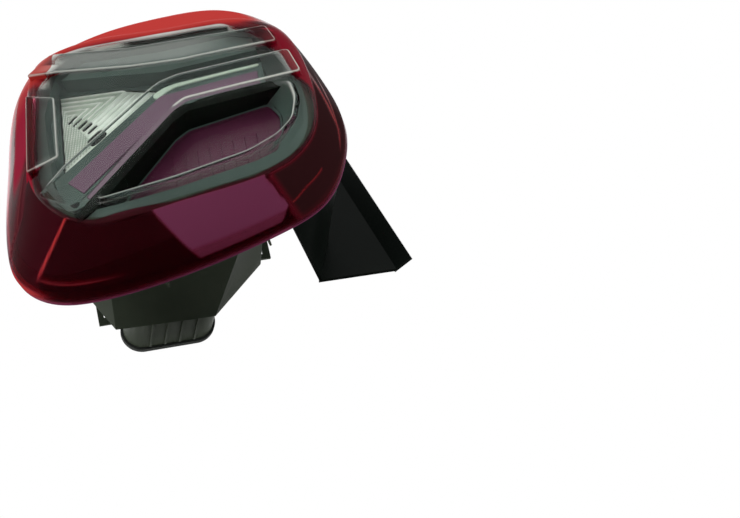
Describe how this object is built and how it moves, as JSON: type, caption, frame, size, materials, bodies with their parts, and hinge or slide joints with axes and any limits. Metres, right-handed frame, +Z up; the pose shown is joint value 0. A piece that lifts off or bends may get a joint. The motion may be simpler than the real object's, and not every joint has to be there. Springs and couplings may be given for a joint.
{
  "type": "tail light cluster",
  "caption": "Rear outer car lamp: red and clear stepped lens on a black housing with bulb well, foam-faced stud towers and a side gutter panel.",
  "frame": {"origin": "midway between the two studs, in the plane of the foam faces that meet the car body", "axes": "+X across the car to the tailgate, +Y forward along the studs, +Z up; the lens faces -Y"},
  "size_m": [0.2914, 0.2737, 0.2791],
  "materials": {
    "red_acrylic": "moulded, polished",
    "clear_acrylic": "moulded, polished",
    "grey_bezel": "dark grey satin",
    "guide_acrylic": "mauve, polished",
    "pale_strip": "pale, polished",
    "gloss_black": "piano black",
    "reflector_coat": "vacuum metallised",
    "filter_acrylic": "dark red, ribbed",
    "housing_black": "moulded, slightly glossy",
    "bulb_coat": "vacuum metallised",
    "foam": "closed-cell foam",
    "zinc_steel": "zinc plated",
    "panel_black": "moulded, satin"
  },
  "bodies": {
    "root": {"lens_red": "red_acrylic", "lens_clear": "clear_acrylic", "bezel": "grey_bezel", "light_guide": "guide_acrylic", "accent_strip": "pale_strip", "blade_trim": "gloss_black", "turn_reflector": "reflector_coat", "pocket_filter": "filter_acrylic", "housing": "housing_black", "bulb_reflector": "bulb_coat", "gasket_lower": "foam", "gasket_upper": "foam", "stud_lower": "zinc_steel", "stud_upper": "zinc_steel", "gutter_panel": "panel_black", "flange_screws": "zinc_steel"}
  },
  "joints": []
}
